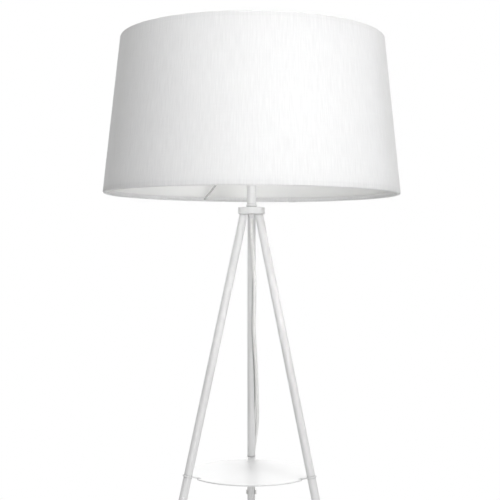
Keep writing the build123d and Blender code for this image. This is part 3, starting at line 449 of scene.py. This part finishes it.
def nickel_plate():
    """Nickel plate on drawn brass: bright, slightly warm, with faint drawing lines round the part."""
    material, tree = blank_material("nickel_plate")
    line_mm = 0.5
    line_length_mm = 10.0
    place = add_node(tree, "ShaderNodeTexCoord")
    stretched = add_node(tree, "ShaderNodeMapping",
                         {"Vector": place.outputs["Object"],
                          "Scale": (1000 / line_length_mm, 1000 / line_length_mm, 1000 / line_mm)})
    lines = add_node(tree, "ShaderNodeTexNoise",
                     {"Vector": stretched.outputs[0], "Scale": 1.0, "Detail": 2.0})
    tone = add_node(tree, "ShaderNodeValToRGB", {"Fac": lines.outputs["Fac"]})
    tone.color_ramp.elements[0].color = linear("#c4bfb7")
    tone.color_ramp.elements[1].color = linear("#d8d4cc")
    gloss = add_node(tree, "ShaderNodeMapRange",
                     {"Value": lines.outputs["Fac"], "To Min": 0.14, "To Max": 0.26})
    surface = add_node(tree, "ShaderNodeBsdfPrincipled",
                       {"Base Color": tone.outputs["Color"], "Metallic": 1.0,
                        "Roughness": gloss.outputs["Result"]})
    add_node(tree, "ShaderNodeOutputMaterial", {"Surface": surface.outputs[0]})
    return material


def opal_plastic(name, roughness, glow):
    """Opal polycarbonate, blow moulded: milky white; `glow` is the share of light that goes through."""
    material, tree = blank_material(name)
    cloud_mm = 18.0
    place = add_node(tree, "ShaderNodeTexCoord")
    cloud = add_node(tree, "ShaderNodeTexNoise",
                     {"Vector": place.outputs["Object"], "Scale": 1000 / cloud_mm, "Detail": 3.0})
    tone = add_node(tree, "ShaderNodeValToRGB", {"Fac": cloud.outputs["Fac"]})
    tone.color_ramp.elements[0].color = linear("#edebe6")
    tone.color_ramp.elements[1].color = linear("#f2f0ec")
    outside = add_node(tree, "ShaderNodeBsdfPrincipled",
                       {"Base Color": tone.outputs["Color"], "Roughness": roughness, "IOR": 1.58})
    through = add_node(tree, "ShaderNodeBsdfTranslucent", {"Color": linear("#f0ede4")})
    surface = add_node(tree, "ShaderNodeMixShader", {0: glow, 1: outside.outputs[0], 2: through.outputs[0]})
    add_node(tree, "ShaderNodeOutputMaterial", {"Surface": surface.outputs[0]})
    return material


nickel = nickel_plate()
dress(brass, "bulb_tip")
dress(ceramic, "bulb_glass_ring")
dress(nickel, "bulb_screw_cap")
dress(opal_plastic("bulb_housing_plastic", roughness=0.3, glow=0.05), "bulb_housing")
dress(opal_plastic("opal_globe_plastic", roughness=0.22, glow=0.35), "bulb_globe")

# Shade frame: a wire spider welded to the bottom ring and to the washer on the lampholder, and a plain top
# ring. The wire is dipped in pale enamel; two plastic rings on the lampholder clamp the washer.


def wire_enamel():
    """Enamelled wire, dipped and baked: white enamel coloured pale grey as painted shade, with slow runs and
    thickenings of the enamel.
    """
    material, tree = blank_material("white_wire_enamel")
    run_mm = 5.0
    place = add_node(tree, "ShaderNodeTexCoord")
    run = add_node(tree, "ShaderNodeTexNoise",
                   {"Vector": place.outputs["Object"], "Scale": 1000 / run_mm, "Detail": 2.0})
    tone = add_node(tree, "ShaderNodeValToRGB", {"Fac": run.outputs["Fac"]})
    # Painted shade: the white enamel is given a pale grey, so the thin wire looks as dark as in its own
    # shadow.
    tone.color_ramp.elements[0].color = linear("#b9b9b9")
    tone.color_ramp.elements[1].color = linear("#c4c4c4")
    relief = add_node(tree, "ShaderNodeBump",
                      {"Height": run.outputs["Fac"], "Strength": 0.2, "Distance": 0.0003})
    surface = add_node(tree, "ShaderNodeBsdfPrincipled",
                       {"Base Color": tone.outputs["Color"], "Roughness": 0.25, "IOR": 1.5,
                        "Normal": relief.outputs[0]})
    add_node(tree, "ShaderNodeOutputMaterial", {"Surface": surface.outputs[0]})
    return material


dress(wire_enamel(), "shade_spider", "shade_top_ring")
dress(plastic, "shade_ring_lower", "shade_ring_upper")

# Shade lining: a stiff white styrene film, rolled to the shade's cone behind the cloth.
# It is matt and lets some light through, so the inside of the shade looks soft.


def styrene_film():
    """Styrene film, calendered: matt white, lightly clouded, and lit a little from behind."""
    material, tree = blank_material("white_styrene_film")
    cloud_mm = 40.0
    grain_mm = 1.5
    see_through = 0.36
    place = add_node(tree, "ShaderNodeTexCoord")
    cloud = add_node(tree, "ShaderNodeTexNoise",
                     {"Vector": place.outputs["Object"], "Scale": 1000 / cloud_mm, "Detail": 4.0})
    grain = add_node(tree, "ShaderNodeTexNoise",
                     {"Vector": place.outputs["Object"], "Scale": 1000 / grain_mm, "Detail": 2.0})
    tone = add_node(tree, "ShaderNodeValToRGB", {"Fac": cloud.outputs["Fac"]})
    tone.color_ramp.elements[0].position = 0.3
    tone.color_ramp.elements[0].color = linear("#f5f5f4")
    tone.color_ramp.elements[1].position = 0.7
    tone.color_ramp.elements[1].color = linear("#f9f9f8")
    relief = add_node(tree, "ShaderNodeBump",
                      {"Height": grain.outputs["Fac"], "Strength": 0.1, "Distance": 0.0002})
    inside = add_node(tree, "ShaderNodeBsdfPrincipled",
                      {"Base Color": tone.outputs["Color"], "Roughness": 0.6, "IOR": 1.55,
                       "Normal": relief.outputs[0]})
    through = add_node(tree, "ShaderNodeBsdfTranslucent", {"Color": linear("#f6f6f5")})
    surface = add_node(tree, "ShaderNodeMixShader",
                       {0: see_through, 1: inside.outputs[0], 2: through.outputs[0]})
    add_node(tree, "ShaderNodeOutputMaterial", {"Surface": surface.outputs[0]})
    return material


dress(styrene_film(), "shade_liner")

# Shade cloth: one piece of white slub weave, glued to the lining, rolled over both wires and lapped inside.
# Its two ends overlap in a glued seam at the back.
shade_bottom_radius = 0.224
shade_top_radius = 0.199
shade_height = 0.234
shade_bottom_z = 1.26584
cloth_thickness = 0.0006
roll_radius = 0.002
roll_depth = 0.00615
over_wire = 0.0047
lap_height = 0.0073
lap_out = -0.0021
seam_turn = radians(71)
seam_overlap = 0.011
seam_lift = 0.00065
seam_climb = 0.004
pucker = 0.0005
puckers_per_radian = 30
top_pucker_seed = 5.0
cloth_columns = 240
wall_rows = 16
arc_steps = 5
lap_steps = 6

taper = atan2(shade_bottom_radius - shade_top_radius, shade_height)
slant = hypot(shade_bottom_radius - shade_top_radius, shade_height)


def smooth_step(t):
    """Eases from 0 to 1."""
    t = min(max(t, 0.0), 1.0)
    return t * t * (3 - 2 * t)


def rolled_edge():
    """The cloth's line round one edge: from the end of its lap, under the wire, to the wall. Up, then out."""
    line = []
    for step in range(lap_steps):
        t = step / lap_steps
        line.append((lap_height + (over_wire - lap_height) * t,
                     lap_out + (-roll_depth - lap_out) * smooth_step(t)))
    for middle_out, start in ((roll_radius - roll_depth, -pi / 2), (-roll_radius, 0)):
        for step in range(arc_steps + 1):
            turn = start + pi / 2 * step / arc_steps
            line.append((roll_radius - roll_radius * cos(turn), middle_out + roll_radius * sin(turn)))
    return line


bottom_edge = rolled_edge()
top_edge = [(slant - up, out) for up, out in reversed(bottom_edge)]
wall_run = slant - 2 * roll_radius
wall_line = [(roll_radius + wall_run * row / wall_rows, 0.0) for row in range(1, wall_rows)]
cloth_line = bottom_edge + wall_line + top_edge
cloth_run = [0.0]
for here, there in zip(cloth_line, cloth_line[1:]):
    cloth_run.append(cloth_run[-1] + hypot(there[0] - here[0], there[1] - here[1]))
mean_radius = (shade_bottom_radius + shade_top_radius) / 2
whole_turn = 2 * pi + seam_overlap / mean_radius


def cloth_place(row, column):
    """Place of a point of the cloth: its row up the line, its column round the shade from the seam."""
    up, out = cloth_line[row]
    before = cloth_line[max(row - 1, 0)]
    after = cloth_line[min(row + 1, len(cloth_line) - 1)]
    along = Vector((after[0] - before[0], after[1] - before[1])).normalized()
    gone = whole_turn * column / cloth_columns
    lift = seam_lift * smooth_step((gone - 2 * pi) * mean_radius / seam_climb + 1)
    turn = seam_turn + gone
    # The glued edge of each lap wanders a little, as a hand-rolled one does.
    from_lap_end = min(row, len(cloth_line) - 1 - row)
    seed = top_pucker_seed if row > lap_steps else 0.0
    wander = noise.noise((puckers_per_radian * cos(turn), puckers_per_radian * sin(turn), seed))
    drift = pucker * wander * max(1 - from_lap_end / lap_steps, 0)
    up += drift if row < lap_steps else -drift
    up -= lift * along[1]
    out += lift * along[0]
    radius = shade_bottom_radius - up * sin(taper) + out * cos(taper)
    height = shade_bottom_z + up * cos(taper) + out * sin(taper)
    return (radius * cos(turn), radius * sin(turn), height)


def slub_weave():
    """Cotton and polyester plain weave: matt, soft at grazing angles, with thick and thin threads."""
    material, tree = blank_material("white_slub_weave")
    # Threads are about 0.4 mm apart, drawn 1.1 mm apart so that they show; slubs are 1.6 mm wide.
    thread_mm = 1.1
    slub_width_mm = 1.6
    slub_length_mm = 28.0
    weft_slub_length_mm = 40.0
    weft_start = (3.0, 7.0, 0.0)
    weft_share = 0.2
    drift_mm = 90.0
    drift_share = 0.15
    thread_share = 0.3
    see_through = 0.35
    lap_shade = 0.965
    lap_blur = 0.001
    place = add_node(tree, "ShaderNodeTexCoord")
    upright = add_node(tree, "ShaderNodeMapping",
                       {"Vector": place.outputs["UV"],
                        "Scale": (1000 / slub_width_mm, 1000 / slub_length_mm, 1.0)})
    warp_slubs = add_node(tree, "ShaderNodeTexNoise",
                          {"Vector": upright.outputs[0], "Scale": 1.0, "Detail": 2.0})
    crosswise = add_node(tree, "ShaderNodeMapping",
                         {"Vector": place.outputs["UV"], "Location": weft_start,
                          "Scale": (1000 / weft_slub_length_mm, 1000 / slub_width_mm, 1.0)})
    weft_slubs = add_node(tree, "ShaderNodeTexNoise",
                          {"Vector": crosswise.outputs[0], "Scale": 1.0, "Detail": 2.0})
    drift = add_node(tree, "ShaderNodeTexNoise",
                     {"Vector": place.outputs["UV"], "Scale": 1000 / drift_mm, "Detail": 3.0})
    # A wave's period is a tenth of pi over its scale.
    wave_scale = 100 * pi / thread_mm
    warp = add_node(tree, "ShaderNodeTexWave", {"Vector": place.outputs["UV"], "Scale": wave_scale},
                    bands_direction="X")
    weft = add_node(tree, "ShaderNodeTexWave", {"Vector": place.outputs["UV"], "Scale": wave_scale},
                    bands_direction="Y")
    threads = add_node(tree, "ShaderNodeMath", {0: warp.outputs["Fac"], 1: weft.outputs["Fac"]},
                       operation="MAXIMUM")
    slubs = add_node(tree, "ShaderNodeMath",
                     {0: weft_slubs.outputs["Fac"], 1: weft_share, 2: warp_slubs.outputs["Fac"]},
                     operation="MULTIPLY_ADD")
    mixed = add_node(tree, "ShaderNodeMath", {0: drift.outputs["Fac"], 1: drift_share, 2: slubs.outputs[0]},
                     operation="MULTIPLY_ADD")
    tone = add_node(tree, "ShaderNodeValToRGB", {"Fac": mixed.outputs[0]})
    tone.color_ramp.elements[0].position = 0.5
    tone.color_ramp.elements[0].color = linear("#e6e6e6")
    tone.color_ramp.elements[1].position = 0.85
    tone.color_ramp.elements[1].color = linear("#efefef")
    # Painted shade: both edges, with their laps and a few millimetres of the outer wall, are a little darker
    # where less light comes through the cloth.
    run = add_node(tree, "ShaderNodeSeparateXYZ", {"Vector": place.outputs["UV"]})
    lap_end = cloth_run[len(bottom_edge) - 1] + lap_height - roll_radius
    lap_start = cloth_run[-1] - lap_end
    above_lap = add_node(tree, "ShaderNodeMapRange",
                         {"Value": run.outputs["Y"], "From Min": lap_end - lap_blur,
                          "From Max": lap_end + lap_blur, "To Min": lap_shade})
    below_lap = add_node(tree, "ShaderNodeMapRange",
                         {"Value": run.outputs["Y"], "From Min": lap_start + lap_blur,
                          "From Max": lap_start - lap_blur, "To Min": lap_shade})
    painted_edge_shade = add_node(tree, "ShaderNodeMath",
                          {0: above_lap.outputs["Result"], 1: below_lap.outputs["Result"]},
                          operation="MULTIPLY")
    colour = add_node(tree, "ShaderNodeVectorMath", {0: tone.outputs["Color"], 1: painted_edge_shade.outputs[0]},
                      operation="MULTIPLY")
    height = add_node(tree, "ShaderNodeMath", {0: threads.outputs[0], 1: thread_share, 2: slubs.outputs[0]},
                      operation="MULTIPLY_ADD")
    relief = add_node(tree, "ShaderNodeBump",
                      {"Height": height.outputs[0], "Strength": 0.3, "Distance": 0.0002})
    face = add_node(tree, "ShaderNodeBsdfPrincipled",
                    {"Base Color": colour.outputs[0], "Roughness": 0.85, "IOR": 1.4,
                     "Sheen Weight": 0.25, "Sheen Roughness": 0.3, "Normal": relief.outputs[0]})
    through = add_node(tree, "ShaderNodeBsdfTranslucent", {"Color": linear("#f6f6f6")})
    surface = add_node(tree, "ShaderNodeMixShader",
                       {0: see_through, 1: face.outputs[0], 2: through.outputs[0]})
    add_node(tree, "ShaderNodeOutputMaterial", {"Surface": surface.outputs[0]})
    return material


cloth_mesh = bpy.data.meshes.new("shade_cloth")
cloth_rows = len(cloth_line)
cloth_points = [cloth_place(row, column) for column in range(cloth_columns + 1) for row in range(cloth_rows)]
cloth_faces = []
for column in range(cloth_columns):
    for row in range(cloth_rows - 1):
        corner = column * cloth_rows + row
        cloth_faces.append((corner, corner + cloth_rows, corner + cloth_rows + 1, corner + 1))
cloth_mesh.from_pydata(cloth_points, [], cloth_faces)
cloth_uv = cloth_mesh.uv_layers.new(name="cloth_metres")
for loop in cloth_mesh.loops:
    column, row = divmod(loop.vertex_index, cloth_rows)
    cloth_uv.data[loop.index].uv = (mean_radius * whole_turn * column / cloth_columns, cloth_run[row])
cloth_mesh.materials.append(slub_weave())
cloth = new_object("shade_cloth", cloth_mesh)
shell = cloth.modifiers.new("cloth_thickness", "SOLIDIFY")
shell.thickness = cloth_thickness
shell.offset = -1.0
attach(cloth, "shade")
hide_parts("shade_fabric")

# Cable clips: snapped on the rear leg from behind, each with an open loop that holds the lead.
# Moulded in the same white plastic as the lampholder.
dress(plastic, "cable_clips")

# Lead: round white PVC flex, 5.5 mm thick, out of the nut under the hub, down the rear leg, round its
# right side and behind it to the floor, then forward to the foot switch. Extruded, so smooth and even.
cord_diameter = 0.0055
leg_route_mm = [
    (0.0, 0.0, 1229.5),
    (0.0, 0.0, 1214.5),
    (0.9, 3.8, 1197.5),
    (2.7, 11.3, 1176.0),
    (4.3, 20.8, 1152.0),
    (5.0, 30.0, 1127.0),
    (4.6, 37.2, 1095.8),
    (3.8, 44.2, 1063.6),
    (5.4, 52.6, 1031.7),
    (7.5, 61.4, 1000.9),
    (8.6, 69.7, 972.0),
    (9.1, 77.6, 945.0),
    (9.9, 87.4, 919.6),
    (8.9, 98.2, 896.5),
    (5.8, 108.3, 872.1),
    (2.2, 116.7, 847.3),
    (0.0, 125.3, 810.4),
    (0.0, 142.3, 738.4),
    (1.0, 159.0, 670.5),
    (0.7, 174.9, 604.3),
    (-0.8, 190.2, 538.1),
    (0.0, 204.8, 473.7),
    (0.0, 221.4, 403.6),
    (-1.0, 238.1, 335.6),
    (-0.6, 254.0, 269.6),
    (0.9, 268.8, 205.2),
    (0.0, 280.8, 152.5),
    (0.0, 295.5, 90.2),
    (2.2, 304.6, 54.0),
    (12.0, 311.0, 25.0),
    (32.0, 313.5, 8.2),
    (57.0, 309.5, 3.0),
    (78.0, 294.0, 3.1),
    (87.5, 270.0, 3.6),
    (86.5, 245.0, 6.6),
    (84.0, 221.5, 9.0),
    (84.0, 199.0, 9.0),
]


def lead_curve(name, points):
    """A round lead on one smooth spline, with these places in metres as its control points."""
    data = bpy.data.curves.new(name, "CURVE")
    data.dimensions = "3D"
    data.bevel_depth = cord_diameter / 2
    data.bevel_resolution = 6
    data.resolution_u = 10
    data.use_fill_caps = True
    spline = data.splines.new("NURBS")
    spline.points.add(len(points) - 1)
    for control, place in zip(spline.points, points):
        control.co = (*place, 1)
    spline.order_u = 3
    spline.use_endpoint_u = True
    data.materials.append(flex)
    made = bpy.data.objects.new(name, data)
    scene.collection.objects.link(made)
    return made


leg_route = [Vector(place) / 1000 for place in leg_route_mm]
leg_lead = lead_curve("lead_on_leg", leg_route)
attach(leg_lead, "stand")
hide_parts("cord_on_leg")

# Foot switch: a two-part case on the lead, screwed from below, with a round push button on a spring.
# The case is the lampholder's plastic; soft tapered sleeves keep the lead from kinking at both ends.
dress(plastic, "switch_base", "switch_cover", "switch_button")
dress(zinc_steel, "switch_screws", "switch_spring")
dress(brass, "switch_contacts")
dress(flex, "switch_relief_in", "switch_relief_out")
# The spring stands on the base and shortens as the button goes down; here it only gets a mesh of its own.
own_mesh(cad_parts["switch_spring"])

# Put-away lead: from the switch to the plug, wound into a neat two-layer coil and held by a strap.
# The turns spiral in on the floor, climb one layer and spiral out again on top.
link_route_mm = [
    (84.0, 61.0, 9.0),
    (84.0, 44.0, 9.0),
    (85.2, 26.0, 7.4),
    (85.2, 8.0, 5.4),
    (84.0, -10.0, 4.4),
    (84.0, -28.0, 4.4),
]
tail_route_mm = [
    (81.0, -39.0, 10.4),
    (81.0, -53.0, 10.4),
    (80.2, -69.0, 9.3),
    (80.2, -85.0, 7.7),
    (81.0, -100.5, 7.2),
    (81.0, -115.0, 7.2),
]
coil_centre_mm = (40.0, -33.5)
coil_radius_mm = 44.0
coil_pitch_mm = 6.0
turns_in = 3.5
turns_climb = 0.5
turns_out = 3.0
points_per_turn = 24


def coil_place(turns):
    """Place on the coil in millimetres after so many turns, clockwise seen from above."""
    reversal = turns_in + turns_climb / 2
    climbed = min(max(turns - turns_in, 0) / turns_climb, 1)
    radius = coil_radius_mm + coil_pitch_mm * (abs(turns - reversal) - reversal)
    # The smooth spline runs a little inside its control points, so they stand out by this share.
    inside_step = (3 + cos(2 * pi / points_per_turn)) / 4
    angle = -2 * pi * turns
    return (
        coil_centre_mm[0] + radius / inside_step * cos(angle),
        coil_centre_mm[1] + radius / inside_step * sin(angle),
        link_route_mm[-1][2] + coil_pitch_mm * (climbed - sin(2 * pi * climbed) / (2 * pi)),
    )


all_turns = turns_in + turns_climb + turns_out
coil_steps = round(all_turns * points_per_turn)
coil_route_mm = [coil_place(step * all_turns / coil_steps) for step in range(coil_steps + 1)]
coil_route = [Vector(place) / 1000 for place in link_route_mm + coil_route_mm + tail_route_mm]
coil_lead = lead_curve("lead_coil", coil_route)

# Strap: a strip of hook-and-loop tape round the coil's front, closed on itself with a short free end.
# Woven nylon, 9 mm wide and soft, so its corners round off and the free end stands up a little.
strap_width = 0.009
strap_thickness = 0.0011
strap_middle = (0.040, -0.067, 0.0074)
strap_half_span = 0.01355
strap_half_height = 0.00605
strap_corner = 0.00275
strap_overlap = 0.013
strap_overlap_start = 0.004
strap_overlap_room = 1.1
strap_end_lift = 0.0012
strap_edge_round = 0.0003
strap_corner_steps = 6
strap_strips = 4
strap_step = 0.002
climb_steps = 3


def strap_loop():
    """Places along the strap's inner face, in the plane across the coil's bundle, from start to end."""
    corners = []
    for side_y, side_z, start in ((1, 1, 0), (-1, 1, pi / 2), (-1, -1, pi), (1, -1, 3 * pi / 2)):
        for step in range(strap_corner_steps + 1):
            turn = start + pi / 2 * step / strap_corner_steps
            corners.append(Vector((side_y * (strap_half_span - strap_corner) + strap_corner * cos(turn),
                                   side_z * (strap_half_height - strap_corner) + strap_corner * sin(turn))))
    top = strap_half_height
    line = [Vector((0.0, top))] + corners[strap_corner_steps + 1:] + corners[:strap_corner_steps + 1]
    steps = round(strap_overlap / strap_step)
    line += [Vector((strap_overlap_start - step * strap_step, top)) for step in range(steps + 1)]
    return line


def nylon_tape():
    """Woven nylon tape with a napped face: matt white, mottled by the nap, fuzzy at grazing angles."""
    material, tree = blank_material("white_nylon_tape")
    nap_mm = 0.8
    place = add_node(tree, "ShaderNodeTexCoord")
    nap = add_node(tree, "ShaderNodeTexNoise",
                   {"Vector": place.outputs["Object"], "Scale": 1000 / nap_mm, "Detail": 3.0})
    tone = add_node(tree, "ShaderNodeValToRGB", {"Fac": nap.outputs["Fac"]})
    tone.color_ramp.elements[0].position = 0.3
    tone.color_ramp.elements[0].color = linear("#cfcdc8")
    tone.color_ramp.elements[1].position = 0.7
    tone.color_ramp.elements[1].color = linear("#e6e6e4")
    relief = add_node(tree, "ShaderNodeBump",
                      {"Height": nap.outputs["Fac"], "Strength": 0.5, "Distance": 0.0004})
    surface = add_node(tree, "ShaderNodeBsdfPrincipled",
                       {"Base Color": tone.outputs["Color"], "Roughness": 0.9, "IOR": 1.53,
                        "Sheen Weight": 0.4, "Normal": relief.outputs[0]})
    add_node(tree, "ShaderNodeOutputMaterial", {"Surface": surface.outputs[0]})
    return material


strap_line = strap_loop()
strap_points = []
strap_edges = [strap_width * (strip / strap_strips - 1 / 2) for strip in range(strap_strips + 1)]
first_over = len(strap_line) - round(strap_overlap / strap_step) - 1
for index, (across_y, up_z) in enumerate(strap_line):
    over = smooth_step((index - first_over - 1) / climb_steps + 1)
    free_end = smooth_step((index - len(strap_line) + 1) / climb_steps + 1)
    raised = over * strap_thickness * strap_overlap_room + free_end * strap_end_lift
    for edge_x in strap_edges:
        strap_points.append(Vector(strap_middle) + Vector((edge_x, across_y, up_z + raised)))
strap_faces = []
for index in range(len(strap_line) - 1):
    for edge in range(len(strap_edges) - 1):
        corner = index * len(strap_edges) + edge
        strap_faces.append((corner, corner + 1, corner + len(strap_edges) + 1, corner + len(strap_edges)))
strap_mesh = bpy.data.meshes.new("coil_strap")
strap_mesh.from_pydata(strap_points, [], strap_faces)
strap_mesh.materials.append(nylon_tape())
strap = new_object("coil_strap", strap_mesh)
tape = strap.modifiers.new("tape_thickness", "SOLIDIFY")
tape.thickness = strap_thickness
tape.offset = 1.0
rounded = strap.modifiers.new("tape_edges", "BEVEL")
rounded.width = strap_edge_round
rounded.segments = 2
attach(strap, "stand")
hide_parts("coil_tie")
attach(coil_lead, "stand")
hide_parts("cord_to_coil", "cord_coil", "cord_to_plug")

# Plug: a flat moulded body with two round pins, and a tapered sleeve where the lead goes in.
# The body is moulded round the pins, which are nickel plated.
dress(plastic, "plug_body")
dress(nickel, "plug_pins")
dress(flex, "plug_relief")
